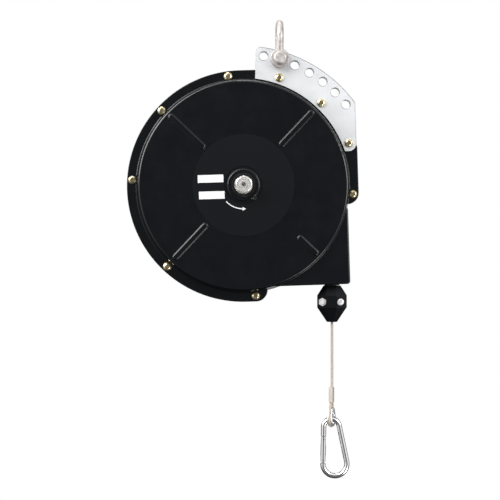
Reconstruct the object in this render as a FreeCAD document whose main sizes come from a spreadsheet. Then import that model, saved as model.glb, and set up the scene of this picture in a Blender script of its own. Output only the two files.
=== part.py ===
import FreeCAD, Part
import math
import os
import Sketcher

# A spring tool balancer: a drum inside a round two-part housing winds a wire cable with a snap hook,
# driven by a spiral spring whose tension is set at the hexagon of the arbor. It hangs by a shackle in a
# sector plate. Frame: millimetres, +Z up, the front faces -Y, the origin is where the support bears in
# the shackle's crown.

Vector = FreeCAD.Vector
Placement = FreeCAD.Placement
Rotation = FreeCAD.Rotation

doc = FreeCAD.newDocument("tool_balancer")

# Driving sizes, in millimetres and degrees.
SIZES = {
    # hang of the whole balancer
    "hang_tilt": 1.8,            # the housing hangs turned by this much, as seen from the front
    "running_gap": 0.05,         # radial clearance of a shaft in its bush
    "seat_gap": 0.1,             # gap where one piece rests on another
    # housing
    "flange_radius": 130,
    "ear_width": 6,              # the flange is this much wider under the hanger plates
    "lobe_radius": 13,           # rounded flange ends beside the corner box
    "lobe_shift": 11,
    "cover_wall": 2,
    "flange_width": 9.9,         # from the pan's foot to the flange's edge
    "pan_depth": 24,
    "pan_draft": 9,
    "pan_edge": 2.4,
    "box_side_inset": 13.8,      # the box's outer side and bottom walls, in from the flange's edge
    "box_bottom_inset": 16.2,
    "box_start": 27,
    "box_depth": 20,
    "box_draft": 2,
    "box_round": 4,
    "box_edge": 1.6,
    "relief_radius": 6.9,        # round recess in the pan's wall beside each screw
    "rib_width": 6.3,
    "rib_height": 1.6,
    "rib_edge": 1.1,
    "rib_inset": 7,              # from the disc's edge to a rib's end
    "rib_length": 47,
    "short_rib_length": 23,
    "hub_radius": 17.7,
    "hub_height": 1,
    "port_radius": 1.6,          # small hole beside the arbor
    "port_circle": 19,
    "port_angle": -50,
    "label_radius": 56.5,
    "label_hole": 21.2,
    "label_wall": 0.5,
    # hanger plates
    "plate_wall": 4,
    "plate_rise": 26.8,          # the plates stand out this far beyond the flange
    "plate_cover": 9.1,          # and reach this far in over it
    "plate_side_inset": 1.4,
    "plate_top_in": 17.3,
    "plate_top_out": 19.5,
    "plate_round": 5,
    "hole_rise": 17.6,
    "hole_first": 79.2,
    "hole_pitch": 7.1,
    "hole_radius": 5.25,
    # screws of the flange and of the hanger plates
    "screw_line": 45,            # the screws lie on both sides of this direction
    "screw_near": 51,
    "screw_side": 90.5,
    "screw_far": 130.2,
    "plate_screw_step": 24.7,
    "screw_inset": 6,
    "plate_screw_inset": 2.3,
    "screw_radius": 2.4,
    "screw_hole": 2.6,
    "screw_head": 4.75,
    "screw_head_height": 3,
    "cross_length": 5.2,
    "cross_width": 1.1,
    "cross_depth": 1.7,
    "nut_flats": 8,
    "nut_height": 4,
    # arbor, its bushes, rings and washers
    "arbor_radius": 10,
    "arbor_end": 28,
    "hex_flats": 17,
    "hex_end": 40,
    "hex_chamfer": 1,
    "centre_hole": 2.35,
    "centre_hole_depth": 12,
    "bush_wall": 3,
    "bush_flange": 16,
    "bush_flange_wall": 1,
    "ring_outer": 12.3,
    "ring_wall": 1.2,
    "ring_groove": 0.6,
    "ring_slot": 7,
    "washer_outer": 17,
    # ratchet
    "tooth_count": 12,
    "tooth_tip": 33,
    "tooth_root": 28,
    "tooth_angle": 105,          # direction of the steep face that the pawl holds
    "ratchet_wall": 5,
    "key_width": 5,
    "key_depth": 2,
    "pawl_circle": 44,
    "pawl_angle": 61,
    "pawl_eye": 6.5,
    "pawl_bore": 3.05,
    "pawl_wall": 4.6,
    "pivot_radius": 3,
    "pivot_head": 4.8,
    "leaf_wall": 0.7,
    "leaf_width": 3.4,
    # drum and spring
    "pitch_inset": 19.8,         # from the pan's foot in to the middle of the wound cable
    "cable_radius": 1.6,
    "drum_front": 14.6,
    "drum_back": 15,
    "drum_web": 4,
    "drum_rim_wall": 4.8,
    "drum_flange_rise": 7.2,
    "drum_flange_wall": 2.4,
    "drum_hub": 19,
    "drum_hub_wall": 5.6,
    "groove_pitch": 3.6,
    "groove_count": 5,
    "groove_depth": 0.6,
    "web_hole": 13,
    "web_hole_share": 0.58,      # where the holes lie between the axis and the cable
    "web_hole_count": 6,
    "drum_lid_wall": 2,
    "lid_screw_radius": 1.25,
    "lid_screw_head": 2.8,
    "lid_screw_length": 9,
    "lid_screw_count": 6,
    "spring_hub_radius": 18,
    "spring_wall": 1,
    "spring_width": 22,
    "spring_room": 8.9,          # between the wound spring and the rim
    "spring_turns": 12,
    "post_radius": 3,
    "anchor_radius": 2.2,
    # outlet guide
    "guide_bore": 2.3,
    "guide_radius": 5.9,
    "guide_flange": 8.5,
    "guide_flange_wall": 0.8,
    # cable stop
    "stop_height": 40.7,
    "stop_neck": 9.3,
    "stop_half_width": 16.3,
    "stop_shoulder": 11,
    "stop_waist": 24.4,
    "stop_foot": 5.6,
    "stop_turn": -10,
    "stop_split": 0.3,
    "stop_screw_spacing": 20,
    "stop_screw_drop": 18.1,
    "stop_screw_radius": 2.4,
    "stop_screw_head": 4,
    "stop_screw_seat": 6,
    # ferrule, eye and thimble
    "cable_show": 73.6,          # length of cable to be seen between the stop and the ferrule
    "ferrule_length": 16.8,
    "ferrule_half_width": 4.5,
    "ferrule_half_depth": 2.4,
    "eye_turn": 66,
    "eye_hang": 19.2,            # from the ferrule down to the middle of the eye
    "eye_radius": 7.4,
    "neck_bend": 15,
    "strand_shift": 1.7,
    "thimble_inner": 4.9,
    "thimble_wall": 0.85,
    "thimble_lip": 7.9,
    "thimble_half_gap": 1.75,
    "thimble_lip_wall": 0.6,
    "thimble_rise": 12,
    "thimble_lean": 18.5,
    "hook_lift": 2.0,            # the curved rod bears on the thimble's edges before its middle
    # snap hook and gate
    "rod_radius": 3,
    "hook_top_radius": 8.8,
    "hook_bottom_radius": 13.5,
    "hook_reach": 41.4,
    "hook_lean": 3.9,
    "gate_start": 22.3,          # from the rod's middle at the top of the hook down to the gate's pin
    "gate_length": 23.6,         # from the hinge pin to the latch pin
    "gate_pin_radius": 1,
    "tongue_wall": 2.4,
    "gate_slot": 2.8,
    # shackle
    "shackle_pin": 4.85,
    "shackle_gap": 13.5,
    "shackle_eye_wall": 8.3,
    "shackle_eye": 10.7,
    "shackle_rod": 3.95,
    "shackle_inside": 31.6,
    "bow_radius": 14.6,
    "pin_head": 7.4,
    "pin_head_height": 5,
    "cotter_radius": 1.2,
    "cotter_inset": 4.4,
}

sheet = doc.addObject("Spreadsheet::Sheet", "Sizes")
for row, (word, number) in enumerate(SIZES.items(), 1):
    sheet.set(f"A{row}", word)
    sheet.set(f"B{row}", str(number))
    sheet.setAlias(f"B{row}", word)
doc.recompute()


class Size:
    # a number together with the expression that gives it from the spreadsheet
    def __init__(self, text, value):
        self.text = text
        self.value = value

    def __add__(self, other):
        return Size(f"({self.text} + {text_of(other)})", self.value + value_of(other))

    def __radd__(self, other):
        return Size(f"({text_of(other)} + {self.text})", value_of(other) + self.value)

    def __sub__(self, other):
        return Size(f"({self.text} - {text_of(other)})", self.value - value_of(other))

    def __rsub__(self, other):
        return Size(f"({text_of(other)} - {self.text})", value_of(other) - self.value)

    def __mul__(self, other):
        return Size(f"({self.text} * {text_of(other)})", self.value * value_of(other))

    def __rmul__(self, other):
        return Size(f"({text_of(other)} * {self.text})", value_of(other) * self.value)

    def __truediv__(self, other):
        return Size(f"({self.text} / {text_of(other)})", self.value / value_of(other))

    def __rtruediv__(self, other):
        return Size(f"({text_of(other)} / {self.text})", value_of(other) / self.value)

    def __neg__(self):
        return Size(f"(0 - {self.text})", -self.value)


def value_of(size):
    return size.value if isinstance(size, Size) else float(size)


def text_of(size):
    return size.text if isinstance(size, Size) else repr(size)


def cosine(angle):
    return Size(f"cos({text_of(angle)})", math.cos(math.radians(value_of(angle))))


def sine(angle):
    return Size(f"sin({text_of(angle)})", math.sin(math.radians(value_of(angle))))


def tangent(angle):
    return Size(f"tan({text_of(angle)})", math.tan(math.radians(value_of(angle))))


def root(size):
    return Size(f"sqrt({text_of(size)})", math.sqrt(value_of(size)))


class Sheet:
    # every alias of the spreadsheet as a Size
    def __getattr__(self, word):
        return Size(f"Sizes.{word}", float(getattr(sheet, word)))


S = Sheet()


def polar(radius, angle):
    return radius * cosine(angle), radius * sine(angle)


# ---------------------------------------------------------------- building blocks

parts = {}      # node name: the object that is written to its file
count = 0


def named(kind):
    global count
    count += 1
    return f"{kind}{count}"


def bind(thing, name, size):
    thing.setExpression(name, text_of(size))


def place(thing, x=0, y=0, z=0, axis=None, angle=0):
    # the object's Placement, bound to the sheet
    if axis:
        thing.Placement = Placement(Vector(), Rotation(Vector(*axis), value_of(angle)))
        bind(thing, "Placement.Rotation.Angle", angle)
    for name, size in (("x", x), ("y", y), ("z", z)):
        bind(thing, f"Placement.Base.{name}", size)
    return thing


def new_body(label=None):
    body = doc.addObject("PartDesign::Body", named("Body"))
    if label:
        body.Label = label
    return body


def sketch_on(body, role, shift=0):
    # a sketch on one of the body's own origin planes, moved along the plane's normal
    sketch = body.newObject("Sketcher::SketchObject", named("Sketch"))
    plane = [item for item in body.Origin.OriginFeatures if item.Role == role][0]
    sketch.AttachmentSupport = (plane, "")
    sketch.MapMode = "FlatFace"
    bind(sketch, "AttachmentOffset.Base.z", shift)
    return sketch


def pin_point(sketch, shape, end, u, v):
    # bind one point of the sketch to its two coordinates
    for kind, size in (("DistanceX", u), ("DistanceY", v)):
        number = sketch.addConstraint(Sketcher.Constraint(kind, -1, 1, shape, end, value_of(size)))
        bind(sketch, f"Constraints[{number}]", size)


def drawn_arc(start, end, radius, side):
    # an arc of up to 180 degrees, kept anticlockwise; side 1 turns left on its way, -1 turns right
    chord = end - start
    half = chord.Length / 2
    reach = math.sqrt(max(radius * radius - half * half, 0))
    centre = (start + end) * 0.5 + Vector(-chord.y, chord.x, 0).normalize() * (reach * side)
    first, last = (start, end) if side > 0 else (end, start)
    low = math.atan2(first.y - centre.y, first.x - centre.x)
    high = math.atan2(last.y - centre.y, last.x - centre.x)
    if high < low:
        high += 2 * math.pi
    circle = Part.Circle(centre, Vector(0, 0, 1), radius)
    return Part.ArcOfCircle(circle, low, high)


def draw(sketch, steps):
    # a closed outline: a step is the corner (u, v) that a line ends in, or (u, v, radius, side) for an arc
    flat = [Vector(value_of(step[0]), value_of(step[1]), 0) for step in steps]
    shapes = []
    for number, step in enumerate(steps):
        start, end = flat[number - 1], flat[number]
        straight = len(step) == 2
        if straight:
            curve = Part.LineSegment(start, end)
        else:
            curve = drawn_arc(start, end, value_of(step[2]), step[3])
        shapes.append((sketch.addGeometry(curve), straight or step[3] > 0))
    for number, step in enumerate(steps):
        shape, forward = shapes[number]
        after, after_forward = shapes[(number + 1) % len(shapes)]
        end = 2 if forward else 1
        after_start = 1 if after_forward else 2
        sketch.addConstraint(Sketcher.Constraint("Coincident", shape, end, after, after_start))
        pin_point(sketch, shape, end, step[0], step[1])
        if len(step) == 4:
            fixed = sketch.addConstraint(Sketcher.Constraint("Radius", shape, value_of(step[2])))
            bind(sketch, f"Constraints[{fixed}]", step[2])
    return sketch


def pad(body, sketch, length, taper=0, back=False):
    feature = body.newObject("PartDesign::Pad", named("Pad"))
    feature.Profile = sketch
    bind(feature, "Length", length)
    if value_of(taper):
        bind(feature, "TaperAngle", -taper)
    feature.Reversed = back
    return feature


def spin(body, sketch, angle=360, back=False):
    # turn the sketch round its own vertical axis
    feature = body.newObject("PartDesign::Revolution", named("Revolution"))
    feature.Profile = sketch
    feature.ReferenceAxis = (sketch, ["V_Axis"])
    bind(feature, "Angle", angle)
    feature.Reversed = back
    return feature


def edge_names(shape, wanted):
    return [f"Edge{number}" for number, edge in enumerate(shape.Edges, 1) if wanted(edge)]


def soften(body, feature, wanted, size, kind="Fillet"):
    # fillet or chamfer the edges of the last feature that the test picks
    doc.recompute()
    finish = body.newObject("PartDesign::" + kind, named(kind))
    finish.Base = (feature, edge_names(feature.Shape, wanted))
    bind(finish, "Radius" if kind == "Fillet" else "Size", size)
    return finish


def slab(steps, near, far, taper=0, label=None):
    # an outline in X and Z, made solid from y = near to y = far
    body = new_body(label)
    sketch = draw(sketch_on(body, "XZ_Plane", -near), steps)
    forward = value_of(far) < value_of(near)
    pad(body, sketch, near - far if forward else far - near, taper, back=not forward)
    return body


def turned(steps, label=None, role="XY_Plane"):
    # a profile of radius against y (or against z on the XZ plane), turned round that axis
    body = new_body(label)
    spin(body, draw(sketch_on(body, role), steps))
    return body


def ring_profile(inner, outer, low, high):
    return [(inner, low), (outer, low), (outer, high), (inner, high)]


def rod(radius, near, far, x=0, z=0):
    # a cylinder along y
    thing = doc.addObject("Part::Cylinder", named("Rod"))
    bind(thing, "Radius", radius)
    bind(thing, "Height", far - near)
    thing.Placement = Placement(Vector(), Rotation(Vector(1, 0, 0), -90))
    for name, size in (("x", x), ("y", near), ("z", z)):
        bind(thing, f"Placement.Base.{name}", size)
    return thing


def upright(radius, low, high, x=0, y=0):
    # a cylinder along z
    thing = doc.addObject("Part::Cylinder", named("Upright"))
    bind(thing, "Radius", radius)
    bind(thing, "Height", high - low)
    return place(thing, x, y, low)


def block(x_low, x_high, y_low, y_high, z_low, z_high):
    thing = doc.addObject("Part::Box", named("Block"))
    bind(thing, "Length", x_high - x_low)
    bind(thing, "Width", y_high - y_low)
    bind(thing, "Height", z_high - z_low)
    return place(thing, x_low, y_low, z_low)


def joined(*things):
    fuse = doc.addObject("Part::MultiFuse", named("Fuse"))
    fuse.Shapes = list(things)
    return fuse


def shared(*things):
    common = doc.addObject("Part::MultiCommon", named("Common"))
    common.Shapes = list(things)
    return common


def cut(base, *tools):
    result = doc.addObject("Part::Cut", named("Cut"))
    result.Base = base
    result.Tool = tools[0] if len(tools) == 1 else joined(*tools)
    return result


def keep(label, thing, x=0, y=0, z=0, axis=None, angle=0):
    # register a finished piece under its node name
    place(thing, x, y, z, axis, angle)
    thing.Label = label
    parts[label] = thing
    return thing


def keep_shape(label, shape, position):
    # a piece whose shape is computed here; its Placement follows its Shape
    thing = doc.addObject("Part::Feature", named("Piece"))
    thing.Shape = shape
    thing.Placement = position.multiply(shape.Placement)
    thing.Label = label
    parts[label] = thing
    return thing


def in_housing(label, thing):
    return keep(label, thing, SHAFT_X, 0, SHAFT_Z, (0, -1, 0), S.hang_tilt)


def stadium(start, end, half):
    # a slot outline along u with round ends
    return [
        (end, -half),
        (end + half, 0, half, 1),
        (end, half, half, 1),
        (start, half),
        (start - half, 0, half, 1),
        (start, -half, half, 1),
    ]


def hexagon(flats):
    corner = flats / (2 * cosine(30))
    return [polar(corner, 60 * number + 30) for number in range(6)]


# ---------------------------------------------------------------- places

EAR_RADIUS = S.flange_radius + S.ear_width
PAN_RADIUS = S.flange_radius - S.flange_width
FACE_RADIUS = PAN_RADIUS - S.pan_depth * tangent(S.pan_draft)
BOX_SIDE = S.flange_radius - S.box_side_inset
BOX_BOTTOM = S.flange_radius - S.box_bottom_inset
RIB_OUTER = FACE_RADIUS - S.rib_inset
PLATE_OUTER = S.flange_radius + S.plate_rise
PLATE_INNER = S.flange_radius - S.plate_cover
PLATE_SIDE = S.flange_radius - S.plate_side_inset
HOLE_CIRCLE = S.flange_radius + S.hole_rise
SCREW_CIRCLE = S.flange_radius - S.screw_inset
PLATE_SCREW_CIRCLE = S.flange_radius - S.plate_screw_inset
PITCH_RADIUS = PAN_RADIUS - S.pitch_inset
DRUM_FLANGE = PITCH_RADIUS + S.drum_flange_rise
HANG_ANGLE = S.hole_first - S.hole_pitch + S.hang_tilt      # the shackle sits in the second hole
PIN_LIFT = S.hole_radius - S.shackle_pin - S.running_gap    # the pin bears on the top of its hole
CROWN_HEIGHT = S.shackle_pin + S.shackle_inside             # the crown's underside above the pin's axis
PIN_Z = -CROWN_HEIGHT
SHAFT_X = -(HOLE_CIRCLE * cosine(HANG_ANGLE))
SHAFT_Z = PIN_Z - PIN_LIFT - HOLE_CIRCLE * sine(HANG_ANGLE)
CABLE_X = SHAFT_X + PITCH_RADIUS

FLANGE_SCREWS = [
    S.screw_line + S.screw_near,
    S.screw_line + S.screw_side,
    S.screw_line + S.screw_far,
    S.screw_line + 180,
    S.screw_line - S.screw_far,
    S.screw_line - S.screw_near,
]
PLATE_SCREWS = [S.screw_line + S.plate_screw_step, S.screw_line, S.screw_line - S.plate_screw_step]
SCREW_SPOTS = [polar(SCREW_CIRCLE, angle) for angle in FLANGE_SCREWS]
PLATE_SPOTS = [polar(PLATE_SCREW_CIRCLE, angle) for angle in PLATE_SCREWS]
HOLE_SPOTS = [polar(HOLE_CIRCLE, S.hole_first - number * S.hole_pitch) for number in range(7)]

# where the cable crosses the bottom wall of the corner box, in the housing's own directions
OUTLET_X = (PITCH_RADIUS - BOX_BOTTOM * sine(S.hang_tilt)) / cosine(S.hang_tilt)


# ---------------------------------------------------------------- housing

def flange_outline():
    side = S.flange_radius
    ear = root(EAR_RADIUS * EAR_RADIUS - side * side)
    low = S.lobe_shift + S.lobe_radius
    inset = side - S.lobe_radius
    inner = side - 2 * S.lobe_radius
    return [
        (ear, side),
        (side, ear, EAR_RADIUS, -1),
        (side, -S.lobe_shift),
        (inset, -low, S.lobe_radius, -1),
        (inner, -low),
        (low, -inner),
        (low, -inset),
        (S.lobe_shift, -side, S.lobe_radius, -1),
        (0, -side),
        (-side, 0, side, -1),
        (0, side, side, -1),
    ]


def pan(side, shrink):
    # the drafted disc of a cover, solid; shrink takes the wall off all round
    depth = S.pan_depth - shrink
    slope = tangent(S.pan_draft)
    base = PAN_RADIUS - shrink
    face = base - depth * slope
    body = turned([(0, 0), (base, 0), (face, side * depth), (0, side * depth)])
    rim = value_of(depth)
    soften(
        body,
        body.Tip,
        lambda edge: edge.BoundBox.XLength > 100 and abs(abs(edge.CenterOfMass.y) - rim) < 0.01,
        S.pan_edge,
    )
    return body


def corner_box(side, shrink):
    # the drafted box at the cable's outlet, solid
    depth = S.box_depth - shrink
    right = BOX_SIDE - shrink
    bottom = -(BOX_BOTTOM - shrink)
    left = S.box_start + shrink
    top = -left
    turn = S.box_round - shrink
    outline = [
        (left, bottom),
        (right - turn, bottom),
        (right, bottom + turn, turn, 1),
        (right, top - turn),
        (right - turn, top, turn, 1),
        (left, top),
    ]
    body = slab(outline, 0, side * depth, S.box_draft)
    face = value_of(depth)
    soften(
        body,
        body.Tip,
        lambda edge: abs(abs(edge.CenterOfMass.y) - face) < 0.01 and edge.BoundBox.YLength < 0.01,
        S.box_edge,
    )
    return body


def rib(side, inner, angle):
    # a raised bar with round ends on the disc's face
    body = slab(stadium(inner, RIB_OUTER, S.rib_width / 2), side * (S.pan_depth - S.cover_wall / 2),
                side * (S.pan_depth + S.rib_height))
    top = value_of(S.pan_depth + S.rib_height)
    soften(body, body.Tip, lambda edge: abs(abs(edge.CenterOfMass.y) - top) < 0.01, S.rib_edge)
    return place(body, 0, 0, 0, (0, -1, 0), angle)


def spots(places, radius, near, far):
    return [rod(radius, near, far, x, z) for x, z in places]


def cover(label, side):
    wall = S.cover_wall
    deep = S.pan_depth + 10
    low, high = (-deep, wall) if side < 0 else (-wall, deep)
    flange = slab(flange_outline(), 0, side * wall)
    relief_low, relief_high = (-deep, -wall) if side < 0 else (wall, deep)
    outside = cut(
        joined(pan(side, 0), corner_box(side, 0)),
        *spots(SCREW_SPOTS, S.relief_radius, relief_low, relief_high),
    )
    inside = cut(
        joined(pan(side, wall), corner_box(side, wall)),
        *spots(SCREW_SPOTS, S.relief_radius + wall, -deep, deep),
    )
    ribs = [rib(side, RIB_OUTER - S.rib_length, angle) for angle in (45, 135, 225)]
    ribs.append(rib(side, RIB_OUTER - S.short_rib_length, 315))
    face = S.pan_depth
    hub = turned([
        (0, side * (face - wall)),
        (S.hub_radius, side * (face - wall)),
        (S.hub_radius, side * (face + S.hub_height / 2)),
        (S.hub_radius - S.hub_height / 2, side * (face + S.hub_height)),
        (0, side * (face + S.hub_height)),
    ])
    shell = cut(joined(flange, outside, *ribs, hub), inside)
    bush_hole = rod(S.arbor_radius + S.bush_wall, -deep, deep)
    outlet = upright(S.guide_radius + S.seat_gap, -BOX_BOTTOM - wall, -BOX_BOTTOM + 2 * wall, OUTLET_X)
    screws = spots(SCREW_SPOTS + PLATE_SPOTS, S.screw_hole, low, high)
    tools = [bush_hole, outlet, *screws]
    if side < 0:
        port_x, port_z = polar(S.port_circle, S.port_angle)
        pivot_x, pivot_z = polar(S.pawl_circle, S.pawl_angle)
        tools.append(rod(S.port_radius, -deep, 0, port_x, port_z))
        tools.append(rod(S.pivot_radius, -deep, 0, pivot_x, pivot_z))
    return in_housing(label, cut(shell, *tools))


def label_plate():
    face = -S.pan_depth
    return in_housing(
        "label_plate", turned(ring_profile(S.label_hole, S.label_radius, face - S.label_wall, face))
    )


def hanger_plate(label, side):
    near, far = side * S.cover_wall, side * (S.cover_wall + S.plate_wall)
    out, inner = PLATE_OUTER, PLATE_INNER
    start = root(out * out - S.plate_top_out * S.plate_top_out)
    low = root(inner * inner - S.plate_top_in * S.plate_top_in)
    right = PLATE_SIDE
    reach = root(out * out - right * right)
    screw_x, screw_z = PLATE_SPOTS[2]
    lobe = right - screw_x
    floor = screw_z - lobe
    inner_x = root(inner * inner - floor * floor)
    outline = [
        (S.plate_top_out, start),
        (right, reach, out, -1),
        (right, screw_z),
        (screw_x, floor, lobe, -1),
        (inner_x, floor),
        (S.plate_top_in, low, inner, 1),
    ]
    body = slab(outline, near, far)

    def corner(edge):
        across = edge.BoundBox.XLength < 0.01 and edge.BoundBox.ZLength < 0.01
        middle = edge.CenterOfMass
        at_top = middle.z > value_of(reach) - 1
        return across and at_top and math.hypot(middle.x, middle.z) > value_of(inner) + 5

    soften(body, body.Tip, corner, S.plate_round)
    span = S.cover_wall + S.plate_wall + 1
    holes = spots(HOLE_SPOTS, S.hole_radius, -span, span) + spots(PLATE_SPOTS, S.screw_hole, -span, span)
    return in_housing(label, cut(body, *holes))


def pan_head_screw(seat, length):
    # a cross-recess screw along y whose head lies in front of y = seat
    head, tall = S.screw_head, S.screw_head_height
    crown = seat - tall
    body = turned([
        (0, seat + length),
        (0, crown),
        (head * 0.55, crown),
        (head, seat - tall * 0.35, head * 0.75, 1),
        (head, seat),
        (S.screw_radius, seat),
        (S.screw_radius, seat + length),
    ])
    half, width = S.cross_length / 2, S.cross_width / 2
    return cut(
        body,
        block(-half, half, crown - 1, crown + S.cross_depth, -width, width),
        block(-width, width, crown - 1, crown + S.cross_depth, -half, half),
    )


def hex_nut(seat, flats, height, bore):
    return cut(slab(hexagon(flats), seat + height, seat), rod(bore, seat - 1, seat + height + 1))


def copies(label, source, places, turn=0):
    # one node of separate equal solids, at their places in the housing's directions
    doc.recompute()
    solids = []
    for number, (x, z) in enumerate(places):
        spot = Placement(Vector(value_of(x), 0, value_of(z)), Rotation(Vector(0, 1, 0), turn * number))
        solid = source.Shape.copy()
        solid.Placement = spot.multiply(solid.Placement)
        solids.append(solid)
    return keep_shape(label, Part.makeCompound(solids), HOUSING_PLACE)


def fasteners():
    stack = S.cover_wall
    thick = S.cover_wall + S.plate_wall
    grip = stack * 2 + S.nut_height + 1
    plate_grip = thick * 2 + S.nut_height + 1
    copies("flange_screws", pan_head_screw(-stack, grip), SCREW_SPOTS, 37)
    copies("flange_nuts", hex_nut(stack, S.nut_flats, S.nut_height, S.screw_radius), SCREW_SPOTS, 21)
    copies("hanger_screws", pan_head_screw(-thick, plate_grip), PLATE_SPOTS, 50)
    copies("hanger_nuts", hex_nut(thick, S.nut_flats, S.nut_height, S.screw_radius), PLATE_SPOTS, 13)


def arbor_bush(label, side):
    # a flanged sleeve in the cover's middle; its flange lies against the inner face
    bore = S.arbor_radius + S.running_gap
    sleeve = S.arbor_radius + S.bush_wall
    inner = side * (S.pan_depth - S.cover_wall)
    outer = side * (S.pan_depth + S.hub_height)
    return in_housing(label, turned([
        (bore, outer),
        (sleeve, outer),
        (sleeve, inner),
        (S.bush_flange, inner),
        (S.bush_flange, inner - side * S.bush_flange_wall),
        (bore, inner - side * S.bush_flange_wall),
    ]))


def outlet_guide():
    # a grommet in the bottom wall of the corner box, with a bell mouth at both ends
    low = -BOX_BOTTOM
    high = low + S.cover_wall + S.guide_flange * tangent(S.box_draft)
    wide, thick = S.guide_flange, S.guide_flange_wall
    bell = S.guide_bore + 1.2
    body = turned([
        (bell, low - thick),
        (wide, low - thick),
        (wide, low),
        (S.guide_radius, low),
        (S.guide_radius, high),
        (wide, high),
        (wide, high + thick),
        (bell, high + thick),
        (S.guide_bore, high - thick / 2),
        (S.guide_bore, low + thick / 2),
    ], role="XZ_Plane")
    doc.recompute()
    shape = body.Shape.copy()
    shape.translate(Vector(value_of(OUTLET_X), 0, 0))
    return keep_shape("outlet_guide", shape, HOUSING_PLACE)


# ---------------------------------------------------------------- arbor and ratchet

ARBOR_FACE = S.pan_depth + S.hub_height                            # outer ends of the bushes
WHEEL_FRONT = -(S.pan_depth - S.cover_wall - S.bush_flange_wall - S.seat_gap)
WHEEL_BACK = WHEEL_FRONT + S.ratchet_wall


def arbor():
    radius, end = S.arbor_radius, S.arbor_end
    ring_near = ARBOR_FACE + S.seat_gap
    ring_far = ring_near + S.ring_wall
    groove = radius - S.ring_groove
    shaft = turned([
        (0, -end),
        (radius, -end),
        (radius, -ring_far),
        (groove, -ring_far),
        (groove, -ring_near),
        (radius, -ring_near),
        (radius, ring_near),
        (groove, ring_near),
        (groove, ring_far),
        (radius, ring_far),
        (radius, end),
        (0, end),
    ])
    corner = S.hex_flats / (2 * cosine(30))
    hexagonal = shared(
        slab(hexagon(S.hex_flats), -end, -S.hex_end),
        turned([
            (0, -end),
            (corner, -end),
            (corner, -(S.hex_end - S.hex_chamfer)),
            (corner - S.hex_chamfer * 1.7, -S.hex_end),
            (0, -S.hex_end),
        ]),
    )
    half = S.key_width / 2
    key_seat = block(-half, half, WHEEL_FRONT, WHEEL_BACK, radius - S.key_depth, radius + 1)
    centre = rod(S.centre_hole, -(S.hex_end + 1), -(S.hex_end - S.centre_hole_depth))
    return in_housing("arbor", cut(joined(shaft, hexagonal), key_seat, centre))


def ratchet_wheel():
    steps = []
    for number in range(int(value_of(S.tooth_count))):
        angle = S.tooth_angle + 360 * number / S.tooth_count
        steps.append(polar(S.tooth_root, angle))
        steps.append(polar(S.tooth_tip, angle))
    wheel = slab(steps, WHEEL_BACK, WHEEL_FRONT)
    bore = rod(S.arbor_radius, WHEEL_FRONT - 1, WHEEL_BACK + 1)
    half = S.key_width / 2
    low, high = S.arbor_radius - S.key_depth, S.arbor_radius + S.key_depth
    key_seat = block(-half, half, WHEEL_FRONT - 1, WHEEL_BACK + 1, 0, high)
    in_housing("ratchet_wheel", cut(wheel, bore, key_seat))
    key = slab([(-half, low), (half, low), (half, high), (-half, high)], WHEEL_BACK, WHEEL_FRONT)
    return in_housing("ratchet_key", key)


def retaining_ring(label, side):
    near = ARBOR_FACE + S.seat_gap
    far = near + S.ring_wall
    low, high = (-far, -near) if side < 0 else (near, far)
    ring = turned(ring_profile(S.arbor_radius - S.ring_groove, S.ring_outer, low, high))
    slot = S.ring_slot / 2
    return in_housing(label, cut(ring, block(-slot, slot, low - 1, high + 1, -S.ring_outer - 1, 0)))


def thrust_washers():
    inner, outer = S.arbor_radius + 3 * S.running_gap, S.washer_outer
    drum_face = -(S.drum_front + (S.drum_hub_wall - S.drum_web) / 2)
    lid_face = S.drum_back + S.drum_hub_wall - S.seat_gap * 10
    back = S.pan_depth - S.cover_wall - S.bush_flange_wall
    front = turned(ring_profile(inner, outer, WHEEL_BACK, drum_face - S.seat_gap))
    rear = turned(ring_profile(inner, outer, lid_face + S.seat_gap, back - S.seat_gap))
    return in_housing("thrust_washers", joined(front, rear))


PIVOT_X, PIVOT_Z = polar(S.pawl_circle, S.pawl_angle)
PAWL_FRONT = -(S.pan_depth - S.cover_wall - S.seat_gap * 3)


def pawl():
    lean = S.tooth_angle - 0.6
    eye = S.pawl_eye
    steps = [
        polar(S.tooth_root + 0.6, lean),
        polar(S.tooth_tip + 6, lean),
        (PIVOT_X, PIVOT_Z + eye),
        (PIVOT_X + eye, PIVOT_Z, eye, -1),
        (PIVOT_X, PIVOT_Z - eye, eye, -1),
        polar(S.tooth_tip + 0.9, S.tooth_angle - 25),
        polar(S.tooth_root + 3, S.tooth_angle - 12),
    ]
    body = slab(steps, PAWL_FRONT + S.pawl_wall, PAWL_FRONT)
    bore = rod(S.pawl_bore, PAWL_FRONT - 1, PAWL_FRONT + S.pawl_wall + 1, PIVOT_X, PIVOT_Z)
    return in_housing("pawl", cut(body, bore))


def pawl_pivot():
    face, back = -S.pan_depth, PAWL_FRONT + S.pawl_wall + S.seat_gap
    body = turned([
        (0, face),
        (S.pivot_radius, face),
        (S.pivot_radius, back),
        (S.pivot_head, back),
        (S.pivot_head, back + 1),
        (0, back + 1),
    ])
    doc.recompute()
    shape = body.Shape.copy()
    shape.translate(Vector(value_of(PIVOT_X), 0, value_of(PIVOT_Z)))
    return keep_shape("pawl_pivot", shape, HOUSING_PLACE)


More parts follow.
